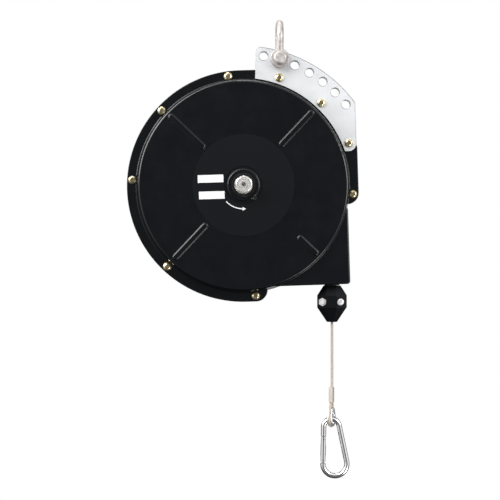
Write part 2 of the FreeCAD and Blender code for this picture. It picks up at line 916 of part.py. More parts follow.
def pawl_spring():
    # a leaf along the pawl's back, bent to a foot on the cover's inner face
    rise = S.seat_gap * 2
    tip_x, tip_z = polar(S.tooth_tip + 6, S.tooth_angle - 0.6)
    foot_x = PIVOT_X + 2 * S.pawl_eye
    back = PIVOT_Z + S.pawl_eye
    middle = PAWL_FRONT + S.pawl_wall / 2
    near, far = middle - S.leaf_width / 2, middle + S.leaf_width / 2
    leaf = slab([
        (tip_x + 2, tip_z + rise + 0.6),
        (PIVOT_X, back + rise),
        (foot_x, back + rise),
        (foot_x, back + rise + S.leaf_wall),
        (PIVOT_X - 1, back + rise + S.leaf_wall),
        (tip_x + 2, tip_z + rise + S.leaf_wall + 0.6),
    ], far, near)
    foot = block(foot_x - S.leaf_wall, foot_x + 3, -(S.pan_depth - S.cover_wall), far, back + rise - 3,
                 back + rise + S.leaf_wall)
    return in_housing("pawl_spring", joined(leaf, foot))


# ---------------------------------------------------------------- drum and power spring

RIM_OUTER = PITCH_RADIUS - S.cable_radius - S.seat_gap
RIM_INNER = RIM_OUTER - S.drum_rim_wall
BAND_START = -(S.groove_pitch * 1.5)
BAND_END = BAND_START + S.groove_pitch * S.groove_count
HUB_FRONT = -(S.drum_front + (S.drum_hub_wall - S.drum_web) / 2)
HUB_BACK = HUB_FRONT + S.drum_hub_wall
LID_FACE = S.drum_back + S.drum_hub_wall - S.seat_gap * 10
SCREW_RING = RIM_OUTER - S.drum_rim_wall / 2


def drum_frame(label, thing):
    return keep(label, thing, SHAFT_X, 0, SHAFT_Z)


def ring_of(make, count, circle):
    step = 360 / count
    return [make(*polar(circle, step * number + step / 2)) for number in range(int(value_of(count)))]


def cable_drum():
    outer = DRUM_FLANGE
    wide = S.groove_pitch * 0.36
    round_radius = (wide * wide + S.groove_depth * S.groove_depth) / (2 * S.groove_depth)
    steps = [
        (S.arbor_radius + S.bush_wall, HUB_FRONT),
        (S.drum_hub, HUB_FRONT),
        (S.drum_hub, -S.drum_front),
        (RIM_OUTER, -S.drum_front),
        (RIM_OUTER, BAND_START - S.drum_flange_wall),
        (outer, BAND_START - S.drum_flange_wall),
        (outer, BAND_START),
        (RIM_OUTER, BAND_START),
    ]
    for number in range(int(value_of(S.groove_count))):
        middle = BAND_START + S.groove_pitch * (number + 0.5)
        steps.append((RIM_OUTER, middle - wide))
        steps.append((RIM_OUTER, middle + wide, round_radius, -1))
    steps += [
        (RIM_OUTER, BAND_END),
        (outer, BAND_END),
        (outer, S.drum_back),
        (RIM_INNER, S.drum_back),
        (RIM_INNER, S.drum_web - S.drum_front),
        (S.drum_hub, S.drum_web - S.drum_front),
        (S.drum_hub, HUB_BACK),
        (S.arbor_radius + S.bush_wall, HUB_BACK),
    ]
    body = turned(steps)
    web_holes = ring_of(
        lambda x, z: rod(S.web_hole, -(S.drum_front + 1), S.drum_web - S.drum_front + 1, x, z),
        S.web_hole_count, PITCH_RADIUS * S.web_hole_share,
    )
    tapped = ring_of(
        lambda x, z: rod(S.lid_screw_radius, S.drum_back - S.lid_screw_length, S.drum_back + 1, x, z),
        S.lid_screw_count, SCREW_RING,
    )
    seat = doc.addObject("Part::Cylinder", named("Seat"))
    bind(seat, "Radius", S.anchor_radius + S.running_gap)
    bind(seat, "Height", 2 * S.anchor_radius + 1)
    seat.Placement = Placement(Vector(), Rotation(Vector(0, 1, 0), -90))
    bind(seat, "Placement.Base.x", 2 * S.anchor_radius - RIM_OUTER)
    bind(seat, "Placement.Base.y", ANCHOR_Y)
    return drum_frame("cable_drum", cut(body, *web_holes, *tapped, seat))


ANCHOR_Y = BAND_END - S.groove_pitch / 2


def cable_anchor():
    ball = doc.addObject("Part::Sphere", named("Ball"))
    bind(ball, "Radius", S.anchor_radius)
    return keep("cable_anchor", ball, SHAFT_X - RIM_OUTER + S.anchor_radius, ANCHOR_Y, SHAFT_Z)


def drum_cover():
    face = S.drum_back + S.drum_lid_wall
    body = turned([
        (S.arbor_radius + S.bush_wall, S.drum_back - S.drum_lid_wall),
        (S.drum_hub, S.drum_back - S.drum_lid_wall),
        (S.drum_hub, S.drum_back),
        (DRUM_FLANGE, S.drum_back),
        (DRUM_FLANGE, face),
        (S.drum_hub, face),
        (S.drum_hub, LID_FACE),
        (S.arbor_radius + S.bush_wall, LID_FACE),
    ])
    holes = ring_of(
        lambda x, z: rod(S.lid_screw_radius + S.seat_gap, S.drum_back - 1, face + 1, x, z),
        S.lid_screw_count, SCREW_RING,
    )
    return drum_frame("drum_cover", cut(body, *holes))


def drum_cover_screws():
    face = S.drum_back + S.drum_lid_wall
    body = turned([
        (0, S.drum_back - S.lid_screw_length + 1),
        (S.lid_screw_radius, S.drum_back - S.lid_screw_length + 1),
        (S.lid_screw_radius, face),
        (S.lid_screw_head, face),
        (S.lid_screw_head, face + 1),
        (S.lid_screw_head * 0.6, face + 1.8),
        (0, face + 1.8),
    ])
    slotted = cut(body, block(-3, 3, face + 1, face + 2, -0.4, 0.4))
    doc.recompute()
    solids = []
    for x, z in ring_of(lambda x, z: (x, z), S.lid_screw_count, SCREW_RING):
        solid = slotted.Shape.copy()
        solid.translate(Vector(value_of(x), 0, value_of(z)))
        solids.append(solid)
    return keep_shape("drum_cover_screws", Part.makeCompound(solids), SHAFT_PLACE)


def drum_bushes():
    bore, sleeve = S.arbor_radius + S.running_gap, S.arbor_radius + S.bush_wall
    drum_frame("drum_front_bush", turned(ring_profile(bore, sleeve, HUB_FRONT, HUB_BACK)))
    lid_inside = S.drum_back - S.drum_lid_wall
    drum_frame("drum_rear_bush", turned(ring_profile(bore, sleeve, lid_inside, LID_FACE)))


SPRING_FRONT = HUB_BACK + 0.5
SPRING_BACK = SPRING_FRONT + S.spring_width


def spring_hub():
    body = turned(ring_profile(S.arbor_radius, S.spring_hub_radius, SPRING_FRONT, SPRING_BACK))
    edge = S.spring_hub_radius
    notch = block(edge - 4, edge + 1, SPRING_FRONT - 1, SPRING_BACK + 1, -1.2, 1.2)
    return drum_frame("spring_hub", cut(body, notch))


def power_spring():
    # a flat spiral of half circles whose centres change sides every half turn
    wall, width = value_of(S.spring_wall), value_of(S.spring_width)
    halves = int(2 * value_of(S.spring_turns))
    first = value_of(S.spring_hub_radius) + wall / 2 + value_of(S.seat_gap)
    step = (value_of(RIM_INNER - S.spring_room) - first) / halves
    edges_out, edges_in = [], []
    centre = 0.0
    for number in range(halves):
        radius = first + step * number
        way = 1 if number % 2 == 0 else -1
        for offset, edges in ((wall / 2, edges_out), (-wall / 2, edges_in)):
            reach = radius + offset
            start = Vector(centre + way * reach, 0, 0)
            top = Vector(centre, 0, way * reach)
            end = Vector(centre - way * reach, 0, 0)
            edges.append(Part.Arc(start, top, end).toShape())
        centre += way * step
    first_out, first_in = edges_out[0].Vertexes[0].Point, edges_in[0].Vertexes[0].Point
    last_out, last_in = edges_out[-1].Vertexes[-1].Point, edges_in[-1].Vertexes[-1].Point
    closing = [Part.makeLine(last_out, last_in), Part.makeLine(first_in, first_out)]
    outline = Part.Wire(Part.__sortEdges__(edges_out + closing + edges_in))
    strip = Part.Face(outline).extrude(Vector(0, width, 0))
    end_x = (last_out.x + last_in.x) / 2
    away = 1 if end_x > 0 else -1
    post = value_of(S.post_radius)
    curl = post + value_of(S.running_gap)
    post_x = end_x + away * (curl + wall / 2)
    loop = Part.makeCylinder(curl + wall, width, Vector(post_x, 0, 0), Vector(0, 1, 0))
    eye = Part.makeCylinder(curl, width, Vector(post_x, 0, 0), Vector(0, 1, 0))
    tail = Part.makeBox(3.4, width, wall, Vector(first_in.x - 3.4 + wall, 0, -wall / 2))
    spring = strip.fuse([loop.cut(eye), tail]).removeSplitter()
    spring.translate(Vector(0, value_of(SPRING_FRONT), 0))
    keep_shape("power_spring", spring, SHAFT_PLACE)
    pin = Part.makeCylinder(post, value_of(SPRING_BACK - (S.drum_web - S.drum_front)),
                            Vector(post_x, value_of(S.drum_web - S.drum_front), 0), Vector(0, 1, 0))
    return keep_shape("spring_post", pin, SHAFT_PLACE)


def wound_cable():
    # the outer shape of the wound turns; the last turn stops where the cable leaves the drum
    inner, outer = PITCH_RADIUS - S.cable_radius, PITCH_RADIUS + S.cable_radius
    first = S.cable_radius + S.seat_gap * 2
    last = BAND_END - S.seat_gap
    turns = turned(ring_profile(inner, outer, first, last))
    body = new_body()
    sketch = draw(sketch_on(body, "XY_Plane"), ring_profile(inner, outer, -S.cable_radius, first))
    spin(body, sketch, 330, back=True)
    return drum_frame("wound_cable", joined(turns, body))


# ---------------------------------------------------------------- cable end

def cable_frame(label, thing, turn=0, x=0, y=0):
    return keep(label, thing, CABLE_X + x, y, SHAFT_Z, (0, 0, 1), turn)


# the stop bears against the outlet guide's lower flange, which hangs tilted
STOP_TOP = (
    PITCH_RADIUS * tangent(S.hang_tilt) - (BOX_BOTTOM + S.guide_flange_wall) / cosine(S.hang_tilt)
    - S.guide_flange * sine(S.hang_tilt) - S.seat_gap
)
FERRULE_TOP = S.stop_height - STOP_TOP + S.cable_show
EYE_DROP = FERRULE_TOP + S.ferrule_length + S.eye_hang
EYE_X = -(S.strand_shift * cosine(S.eye_turn))
EYE_Y = -(S.strand_shift * sine(S.eye_turn))
FERRULE_FOOT = -(FERRULE_TOP + S.ferrule_length)


def eye_path():
    # the cable from the drum down to its eye and back up into the ferrule, as lines and tangent arcs
    wide, strand, bend = value_of(S.eye_radius), value_of(S.strand_shift), value_of(S.neck_bend)
    centre = Vector(0, 0, -value_of(EYE_DROP))
    neck = Vector(strand, 0, value_of(FERRULE_FOOT) - 1)
    offset = neck - centre
    angle = math.atan2(offset.z, offset.x) - math.acos(wide / offset.Length)
    touch = centre + Vector(math.cos(angle), 0, math.sin(angle)) * wide
    slope = (touch - neck).normalize()
    turn = slope.getAngle(Vector(0, 0, -1))
    reach = bend * math.tan(turn / 2)
    above, below = neck + Vector(0, 0, reach), neck + slope * reach
    inward = (Vector(0, 0, 1) + slope).normalize()
    halfway = neck + inward * (bend / math.cos(turn / 2) - bend)

    def mirrored(point):
        return Vector(-point.x, point.y, point.z)

    corners = [Vector(strand, 0, 0), above, halfway, below, touch]
    back = [mirrored(point) for point in reversed(corners[1:])]
    tail = Vector(-strand, 0, 1.5 - value_of(FERRULE_TOP))
    edges = [
        Part.makeLine(corners[0], above),
        Part.Arc(above, halfway, below).toShape(),
        Part.makeLine(below, touch),
        Part.Arc(touch, centre - Vector(0, 0, wide), mirrored(touch)).toShape(),
        Part.makeLine(back[0], back[1]),
        Part.Arc(back[1], back[2], back[3]).toShape(),
        Part.makeLine(back[3], tail),
    ]
    print("cable radii", bend, wide, bend)
    return Part.Wire(edges)


def cable_run():
    radius = value_of(S.cable_radius)
    path = eye_path()
    start = path.Vertexes[0].Point
    section = Part.Wire(Part.Circle(start, Vector(0, 0, -1), radius).toShape())
    tube = path.makePipeShell([section], True, True)
    print("cable length", round(path.Length, 1), "volume ratio",
          round(tube.Volume / (math.pi * radius ** 2 * path.Length), 4))
    turned_eye = Rotation(Vector(0, 0, 1), value_of(S.eye_turn))
    eye_place = Placement(Vector(value_of(EYE_X), value_of(EYE_Y), 0), turned_eye)
    return keep_shape("cable_run", tube, CABLE_PLACE.multiply(eye_place))


def teardrop(radius, rise):
    # a circle round the eye's middle with two straight sides that close in above it
    lean = S.thimble_lean
    middle = -EYE_DROP
    top = (radius - rise * sine(lean)) / cosine(lean)
    side_x, side_z = radius * cosine(lean), middle + radius * sine(lean)
    return [
        (top, middle + rise),
        (-top, middle + rise),
        (-side_x, side_z),
        (0, middle - radius, radius, 1),
        (side_x, side_z, radius, 1),
    ]


def cable_thimble():
    half, lip = S.thimble_half_gap, S.thimble_half_gap + S.thimble_lip_wall
    rise = S.thimble_rise
    strip = slab(teardrop(S.thimble_inner + S.thimble_wall, rise), lip, -lip)
    front = slab(teardrop(S.thimble_lip, rise), -half, -lip)
    rear = slab(teardrop(S.thimble_lip, rise), lip, half)
    hollow = slab(teardrop(S.thimble_inner, rise + 0.5), lip + 1, -(lip + 1))
    return cable_frame("cable_thimble", cut(joined(strip, front, rear), hollow), S.eye_turn, EYE_X, EYE_Y)


def cable_ferrule():
    body = new_body()
    half = S.ferrule_half_depth
    sketch = sketch_on(body, "XY_Plane", FERRULE_FOOT)
    reach = S.ferrule_half_width - half
    draw(sketch, stadium(-reach, reach, half))
    feature = pad(body, sketch, S.ferrule_length)
    ends = (value_of(FERRULE_FOOT), -value_of(FERRULE_TOP))
    soften(
        body,
        feature,
        lambda edge: min(abs(edge.CenterOfMass.z - end) for end in ends) < 0.01,
        0.7,
    )
    bores = [
        upright(S.cable_radius, FERRULE_FOOT - 1, -FERRULE_TOP + 1, way * S.strand_shift) for way in (1, -1)
    ]
    dents = [
        block(-6, 6, y_low, y_high, FERRULE_FOOT + share * S.ferrule_length - 0.8,
              FERRULE_FOOT + share * S.ferrule_length + 0.8)
        for share in (0.25, 0.5, 0.75)
        for y_low, y_high in ((half - 0.3, half + 1), (-half - 1, -half + 0.3))
    ]
    return cable_frame("cable_ferrule", cut(body, *bores, *dents), S.eye_turn, EYE_X, EYE_Y)


SCREW_DROP = STOP_TOP - S.stop_screw_drop


def stop_section(half_width, depth, flat, shoulder, side):
    near = side * S.stop_split
    return [
        (-half_width, near),
        (-half_width, side * shoulder),
        (-flat, side * depth),
        (flat, side * depth),
        (half_width, side * shoulder),
        (half_width, near),
    ]


def cable_stop(label, side):
    levels = [
        (STOP_TOP, S.stop_neck, 9, 5, 4.5),
        (STOP_TOP - S.stop_shoulder, S.stop_half_width, 11.5, 6.3, 5),
        (STOP_TOP - S.stop_waist, S.stop_half_width, 11.5, 6.3, 5),
        (STOP_TOP - S.stop_height, S.stop_foot, 5.6, 3, 3),
    ]
    body = new_body()
    sketches = []
    for height, wide, depth, flat, shoulder in levels:
        outline = stop_section(wide, depth, flat, shoulder, side)
        sketches.append(draw(sketch_on(body, "XY_Plane", height), outline))
    loft = body.newObject("PartDesign::AdditiveLoft", named("Loft"))
    loft.Profile = sketches[0]
    loft.Sections = sketches[1:]
    loft.Ruled = True
    channel = upright(S.cable_radius, STOP_TOP - S.stop_height - 1, STOP_TOP + 1)
    tools = [channel]
    for way in (1, -1):
        x = way * S.stop_screw_spacing / 2
        tools.append(rod(S.stop_screw_radius + S.seat_gap, -20, 20, x, SCREW_DROP))
        low, high = (-20, -S.stop_screw_seat) if side < 0 else (S.stop_screw_seat, 20)
        tools.append(rod(S.stop_screw_head + 0.9, low, high, x, SCREW_DROP))
    return cable_frame(label, cut(body, *tools), S.stop_turn)


def stop_fasteners():
    # one screw from the front and one from the back, each with its nut on the other side
    seat, head = S.stop_screw_seat, S.stop_screw_head
    half = S.stop_screw_spacing / 2
    screws, nuts = [], []
    for way in (1, -1):
        x = way * half
        seat_y = -way * seat
        body = new_body()
        sketch = sketch_on(body, "XY_Plane")
        draw(sketch, [
            (0, seat_y - way * 3.2),
            (head * 0.7, seat_y - way * 3.2),
            (head, seat_y - way * 2.2, head * 0.6, way),
            (head, seat_y),
            (S.stop_screw_radius, seat_y),
            (S.stop_screw_radius, way * (seat + 4.2)),
            (0, way * (seat + 4.2)),
        ])
        spin(body, sketch)
        slot_face = seat_y - way * 3
        low, high = slot_face - 1, slot_face + 1
        slot = block(-5, 5, low, high, -0.55, 0.55)
        place(slot, -5 * cosine(40), low, -5 * sine(40) - 0.42, (0, -1, 0), 40)
        screws.append(place(cut(body, slot), x, 0, SCREW_DROP))
        low, high = (seat, seat + 3.2) if way > 0 else (-seat - 3.2, -seat)
        nut = cut(slab(hexagon(S.nut_flats), high, low), rod(S.stop_screw_radius, low - 1, high + 1))
        nuts.append(place(nut, x, 0, SCREW_DROP))
    cable_frame("stop_screws", joined(*screws), S.stop_turn)
    cable_frame("stop_nuts", joined(*nuts), S.stop_turn)


# ---------------------------------------------------------------- snap hook

# the rod's middle at the top of the hook rests in the thimble
HOOK_X = EYE_X - 0.1
HOOK_Z = -EYE_DROP - S.thimble_inner + S.rod_radius + S.hook_lift


def hook_lines():
    # tangent points of the two circles that shape the hook, from the rod's middle at its top
    top_radius, low_radius = value_of(S.hook_top_radius), value_of(S.hook_bottom_radius)
    top = Vector(0, 0, -top_radius)
    low = top + Vector(value_of(S.hook_lean), 0, -value_of(S.hook_reach))
    axis = low - top
    down = axis.normalize()
    spread = math.asin((low_radius - top_radius) / (low - top).Length)
    across = Vector(-down.z, 0, down.x)
    found = []
    for way in (1, -1):
        out = across * (way * math.cos(spread)) - down * math.sin(spread)
        found.append((top + out * top_radius, low + out * low_radius))
    return top, low, found[0], found[1], down


def leg_point(leg, drop):
    # the point of a straight leg at a given depth under the top of the hook
    start, end = leg
    share = (start.z + drop) / (start.z - end.z)
    return start + (end - start) * share


def hook_leg():
    # the gate's leg: its hinge pin, its direction downwards and its lean from upright, in degrees
    top, low, first, second, down = hook_lines()
    leg = first if first[0].x < second[0].x else second
    pin = leg_point(leg, value_of(S.gate_start))
    along = (leg[1] - leg[0]).normalize()
    return leg, pin, along, math.degrees(math.atan2(along.x, -along.z))


END_GAP = 3.4       # from a gate pin to the end face of the hook's rod


def snap_hook():
    radius, tongue = value_of(S.rod_radius), value_of(S.tongue_wall)
    top, low, first, second, down = hook_lines()
    leg, pin, along, lean = hook_leg()
    other = second if leg is first or leg[0].x == first[0].x else first
    latch = pin + along * value_of(S.gate_length)
    start = pin - along * END_GAP
    stop = latch + along * END_GAP
    crown = top + Vector(0, 0, value_of(S.hook_top_radius))
    base = low + down * value_of(S.hook_bottom_radius)
    path = Part.Wire([
        Part.makeLine(start, leg[0]),
        Part.Arc(leg[0], crown, other[0]).toShape(),
        Part.makeLine(other[0], other[1]),
        Part.Arc(other[1], base, leg[1]).toShape(),
        Part.makeLine(leg[1], stop),
    ])
    section = Part.Wire(Part.Circle(start, along, radius).toShape())
    hook = path.makePipeShell([section], True, True)
    pin_radius = value_of(S.gate_pin_radius)
    # tongues, drawn along the leg with the hinge pin at the origin
    hinge_tongue = Part.makeBox(4.8, tongue, END_GAP + 1, Vector(-2.4, -tongue / 2, 0))
    hinge_end = Part.makeCylinder(2.4, tongue, Vector(0, -tongue / 2, 0), Vector(0, 1, 0))
    hinge_tongue = hinge_tongue.fuse(hinge_end)
    hinge_tongue = hinge_tongue.cut(
        Part.makeCylinder(pin_radius, tongue + 2, Vector(0, -tongue / 2 - 1, 0), Vector(0, 1, 0)))
    reach = value_of(S.gate_length)
    nose = Part.makeBox(4.4, tongue, END_GAP + 5, Vector(-2.2, -tongue / 2, -reach - END_GAP - 1))
    notch_corner = Vector(-1.2, -tongue / 2 - 1, -reach - pin_radius - 0.4)
    notch = Part.makeBox(6, tongue + 2, 2 * pin_radius + 0.8, notch_corner)
    nose = nose.cut(notch)
    turn = Placement(pin, Rotation(Vector(0, -1, 0), lean))
    for piece in (hinge_tongue, nose):
        piece.Placement = turn.multiply(piece.Placement)
    hook = hook.fuse([hinge_tongue, nose]).removeSplitter()
    return keep_shape("snap_hook", hook, HOOK_PLACE)


def gate_frame(label, thing):
    leg, pin, along, lean = hook_leg()
    doc.recompute()
    shape = thing.Shape.copy()
    shape.Placement = Placement(pin, Rotation(Vector(0, -1, 0), lean)).multiply(shape.Placement)
    return keep_shape(label, shape, HOOK_PLACE)


def gate():
    radius, reach = S.rod_radius, S.gate_length
    tube = upright(radius, -(reach + 3), 3)
    side = slab([
        (-radius, -reach),
        (0, -(reach + radius), radius, 1),
        (radius, -reach, radius, 1),
        (radius, 0),
        (0, radius, radius, 1),
        (-radius, 0, radius, 1),
    ], radius + 1, -(radius + 1))
    half = S.gate_slot / 2
    upper = block(-radius - 1, radius + 1, -half, half, -6, radius + 1)
    lower = block(-radius - 1, radius + 1, -half, half, -(reach + radius + 1), -(reach - 5.2))
    pins = [rod(S.gate_pin_radius, -radius - 1, radius + 1, 0, z) for z in (0, -reach)]
    spring_bore = upright(1.2, -15, -5)
    gate_frame("gate", cut(shared(tube, side), upper, lower, *pins, spring_bore))
    gate_frame("gate_hinge_pin", rod(S.gate_pin_radius - S.running_gap, -radius + 0.2, radius - 0.2))
    gate_frame("gate_latch_pin", rod(S.gate_pin_radius, -radius + 0.2, radius - 0.2, 0, -reach))


def gate_spring():
    # a small compression spring between the gate's bore and the hook's tongue, as its stacked coils
    steps = [(0.3, -14.9), (0.6, -14.9)]
    coils = 7
    pitch = (14.9 - 2.7) / coils
    for number in range(coils):
        low = -14.9 + pitch * number
        steps.append((1.1, low + pitch * 0.3))
        steps.append((1.1, low + pitch * 0.6))
        steps.append((0.6, low + pitch * 0.95))
    steps.append((0.3, -14.9 + pitch * coils * 0.993))
    gate_frame("gate_spring", turned(steps, role="XZ_Plane"))


# ---------------------------------------------------------------- shackle

def shackle_bow():
    # the rod runs from eye to eye in the YZ plane round a wide bow
    radius, bow = value_of(S.shackle_rod), value_of(S.bow_radius)
    half = value_of(S.shackle_gap / 2 + S.shackle_eye_wall / 2)
    crown = value_of(CROWN_HEIGHT) + radius
    centre = Vector(0, 0, crown - bow)
    foot = Vector(0, half, 5.0)
    gap = foot - centre
    lean = math.acos(bow / gap.Length)
    angle = math.atan2(gap.z, gap.y) + lean
    touch = centre + Vector(0, math.cos(angle), math.sin(angle)) * bow
    left_touch, left_foot = Vector(0, -touch.y, touch.z), Vector(0, -foot.y, foot.z)
    path = Part.Wire([
        Part.makeLine(foot, touch),
        Part.Arc(touch, Vector(0, 0, crown), left_touch).toShape(),
        Part.makeLine(left_touch, left_foot),
    ])
    section = Part.Wire(Part.Circle(foot, touch - foot, radius).toShape())
    bow_rod = path.makePipeShell([section], True, True)
    eye, wall = value_of(S.shackle_eye), value_of(S.shackle_eye_wall)
    inner = value_of(S.shackle_gap) / 2
    eyes = []
    for way in (1, -1):
        disc = Part.makeCylinder(eye, wall, Vector(0, way * inner, 0), Vector(0, way, 0))
        outer_rims = [edge for edge in disc.Edges if edge.BoundBox.YLength < 0.01]
        eyes.append(disc.makeFillet(1.2, outer_rims))
    pin_bore = value_of(S.shackle_pin + S.running_gap)
    bore = Part.makeCylinder(pin_bore, 60, Vector(0, -30, 0), Vector(0, 1, 0))
    gap_box = Part.makeBox(40, 2 * inner, 2 * eye, Vector(-20, -inner, -eye))
    bow_shape = bow_rod.fuse(eyes).cut(bore).cut(gap_box)
    return keep_shape("shackle_bow", bow_shape.removeSplitter(), PIN_PLACE)


def shackle_pin():
    reach = S.shackle_gap / 2 + S.shackle_eye_wall + S.seat_gap
    end = reach + 2 * S.cotter_inset
    head = S.pin_head
    body = turned([
        (0, -reach - S.pin_head_height),
        (head * 0.72, -reach - S.pin_head_height),
        (head, -reach - S.pin_head_height + 1.8, head * 0.4, 1),
        (head, -reach),
        (S.shackle_pin, -reach),
        (S.shackle_pin, end - 1),
        (S.shackle_pin - 1, end),
        (0, end),
    ])
    cotter_y = reach + S.cotter_inset
    bore = upright(S.cotter_radius + S.running_gap, -10, 10, 0, cotter_y)
    keep("shackle_pin", cut(body, bore), 0, 0, PIN_Z)
    ring_radius, wire = S.cotter_radius * 2, S.cotter_radius * 0.8
    ring_low = S.shackle_pin + S.seat_gap
    ring = doc.addObject("Part::Torus", named("Torus"))
    bind(ring, "Radius1", ring_radius)
    bind(ring, "Radius2", wire)
    ring.Placement = Placement(Vector(), Rotation(Vector(0, 1, 0), 90))
    bind(ring, "Placement.Base.z", ring_low + ring_radius + wire)
    bind(ring, "Placement.Base.y", cotter_y)
    shank = upright(S.cotter_radius, -(S.shackle_pin + 4), ring_low + wire, 0, cotter_y)
    keep("cotter_pin", joined(ring, shank), 0, 0, PIN_Z)


# ---------------------------------------------------------------- the assembly

SHAFT = Vector(value_of(SHAFT_X), 0, value_of(SHAFT_Z))
HOUSING_PLACE = Placement(SHAFT, Rotation(Vector(0, -1, 0), value_of(S.hang_tilt)))
SHAFT_PLACE = Placement(SHAFT, Rotation())
CABLE_PLACE = Placement(Vector(value_of(CABLE_X), 0, value_of(SHAFT_Z)), Rotation())
HOOK_PLACE = Placement(
    Vector(value_of(CABLE_X + HOOK_X), value_of(EYE_Y), value_of(SHAFT_Z + HOOK_Z)), Rotation()
)
PIN_PLACE = Placement(Vector(0, 0, value_of(PIN_Z)), Rotation())

cover("front_cover", -1)
cover("rear_cover", 1)
label_plate()
hanger_plate("hanger_plate_front", -1)
hanger_plate("hanger_plate_rear", 1)
fasteners()
arbor_bush("front_bush", -1)
arbor_bush("rear_bush", 1)
outlet_guide()
arbor()
ratchet_wheel()
retaining_ring("front_retaining_ring", -1)
retaining_ring("rear_retaining_ring", 1)
thrust_washers()
pawl()
pawl_pivot()
pawl_spring()
cable_drum()
cable_anchor()
drum_cover()
drum_cover_screws()
drum_bushes()
spring_hub()
power_spring()
wound_cable()
cable_run()
cable_thimble()
cable_ferrule()
cable_stop("cable_stop_front", -1)
cable_stop("cable_stop_rear", 1)
stop_fasteners()
snap_hook()
gate()
gate_spring()
shackle_bow()
shackle_pin()

doc.recompute()
for thing in doc.Objects:
    if "Invalid" in thing.State or "Error" in thing.State:
        raise RuntimeError(f"{thing.Name} {thing.Label}: {thing.State}")
os.makedirs("parts", exist_ok=True)
for label, thing in parts.items():
    shape = thing.Shape
    if shape.isNull() or not shape.isValid() or not shape.Solids:
        raise RuntimeError(f"{label} has no valid solid")
    shape.exportStep(f"parts/{label}.step")
    box = shape.BoundBox
    low, high = (box.XMin, box.YMin, box.ZMin), (box.XMax, box.YMax, box.ZMax)
    reach = ", ".join(f"{name} {near:.1f} {far:.1f}" for name, near, far in zip("xyz", low, high))
    print(f"{label}: {len(shape.Solids)} solids, {shape.Volume:.0f} mm3, {reach}")
print(len(parts), "nodes")
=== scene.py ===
import math
import bpy
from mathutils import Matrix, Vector


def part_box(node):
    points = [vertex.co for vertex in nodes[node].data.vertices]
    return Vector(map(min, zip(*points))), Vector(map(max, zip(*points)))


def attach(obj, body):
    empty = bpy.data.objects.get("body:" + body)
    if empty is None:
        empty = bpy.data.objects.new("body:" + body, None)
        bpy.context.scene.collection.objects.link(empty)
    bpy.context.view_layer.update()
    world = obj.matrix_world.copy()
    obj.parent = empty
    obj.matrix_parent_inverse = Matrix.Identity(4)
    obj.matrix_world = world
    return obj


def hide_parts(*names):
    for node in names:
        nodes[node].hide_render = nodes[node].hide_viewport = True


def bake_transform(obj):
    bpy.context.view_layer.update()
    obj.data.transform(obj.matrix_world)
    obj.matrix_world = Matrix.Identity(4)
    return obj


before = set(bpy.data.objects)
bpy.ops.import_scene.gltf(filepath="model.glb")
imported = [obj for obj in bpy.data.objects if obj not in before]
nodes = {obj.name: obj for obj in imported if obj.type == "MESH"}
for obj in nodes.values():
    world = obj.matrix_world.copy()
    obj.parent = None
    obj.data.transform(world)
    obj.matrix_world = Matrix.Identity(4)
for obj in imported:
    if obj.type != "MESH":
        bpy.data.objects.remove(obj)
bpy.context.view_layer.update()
scene = bpy.context.scene
scene.view_settings.view_transform = "Standard"

# places in the row frame, in metres, the same as in the part's source
shaftX = -0.0409316
shaftZ = -0.178611
windingRadius = 0.1003  # the cable leaves the drum this far from the arbor's axis
cableX = shaftX + windingRadius
shaft = Vector((shaftX, 0.0, shaftZ))
hangTilt = math.radians(1.8)  # the housing hangs turned by this much


def inHousing(x, y, z):
    # millimetres along the housing's own directions, from the arbor's axis
    across, up = math.cos(hangTilt), math.sin(hangTilt)
    return shaft + Vector((x * across - z * up, y, x * up + z * across)) / 1000


# the camera looks nearly along +Y at a place beside and below the arbor
view = dict(turn=-1.75, right=0.0079, down=0.0718, distance=1.405, lens=90, sensor=36)
cameraTurn = math.radians(view["turn"])
cameraAim = shaft + Vector((view["right"], 0.0, -view["down"]))
cameraBack = Vector((math.sin(cameraTurn), -math.cos(cameraTurn), 0))
bpy.ops.object.camera_add(
    location=cameraAim + view["distance"] * cameraBack,
    rotation=(math.pi / 2, 0, cameraTurn),
)
camera = bpy.context.object
camera.data.lens = view["lens"]
camera.data.sensor_width = view["sensor"]
scene.camera = camera

# soft lamps, all aimed at the middle of the balancer
lampAim = Vector((-0.04, 0.0, -0.2))
lamps = {
    "KeyLamp": dict(location=(-1.6, -2.4, 1.9), size=1.8, power=68),
    "FillLamp": dict(location=(1.3, -1.2, 0.2), size=1.0, power=15),
    "TopLamp": dict(location=(-0.2, 0.3, 1.5), size=0.9, power=8),
    "RimLamp": dict(location=(-1.5, -0.55, 0.55), size=1.2, power=30),
    "LowLamp": dict(location=(1.15, -1.3, -1.35), size=0.7, power=10),
}
for name, lamp in lamps.items():
    bpy.ops.object.light_add(type="AREA", location=lamp["location"])
    light = bpy.context.object
    light.name = name
    light.data.size = lamp["size"]
    light.data.energy = lamp["power"]
    light.rotation_euler = (lampAim - light.location).to_track_quat("-Z", "Y").to_euler()

# the surroundings: white to the camera and through glass, a studio to the gloss, soft light to the rest
world = bpy.data.worlds.new("Surroundings")
scene.world = world
world.use_nodes = True
worldNodes = world.node_tree.nodes
worldLinks = world.node_tree.links
worldNodes.clear()
direction = worldNodes.new("ShaderNodeSeparateXYZ")
places = worldNodes.new("ShaderNodeTexCoord")
worldLinks.new(places.outputs["Generated"], direction.inputs["Vector"])
rays = worldNodes.new("ShaderNodeLightPath")


def rising(axis, low, high, bottom, top):
    # a value that rises from bottom to top along one direction of the surroundings
    ramp = worldNodes.new("ShaderNodeMapRange")
    ramp.interpolation_type = "SMOOTHSTEP"
    ramp.inputs["From Min"].default_value = low
    ramp.inputs["From Max"].default_value = high
    ramp.inputs["To Min"].default_value = bottom
    ramp.inputs["To Max"].default_value = top
    worldLinks.new(direction.outputs[axis], ramp.inputs["Value"])
    return ramp.outputs["Result"]


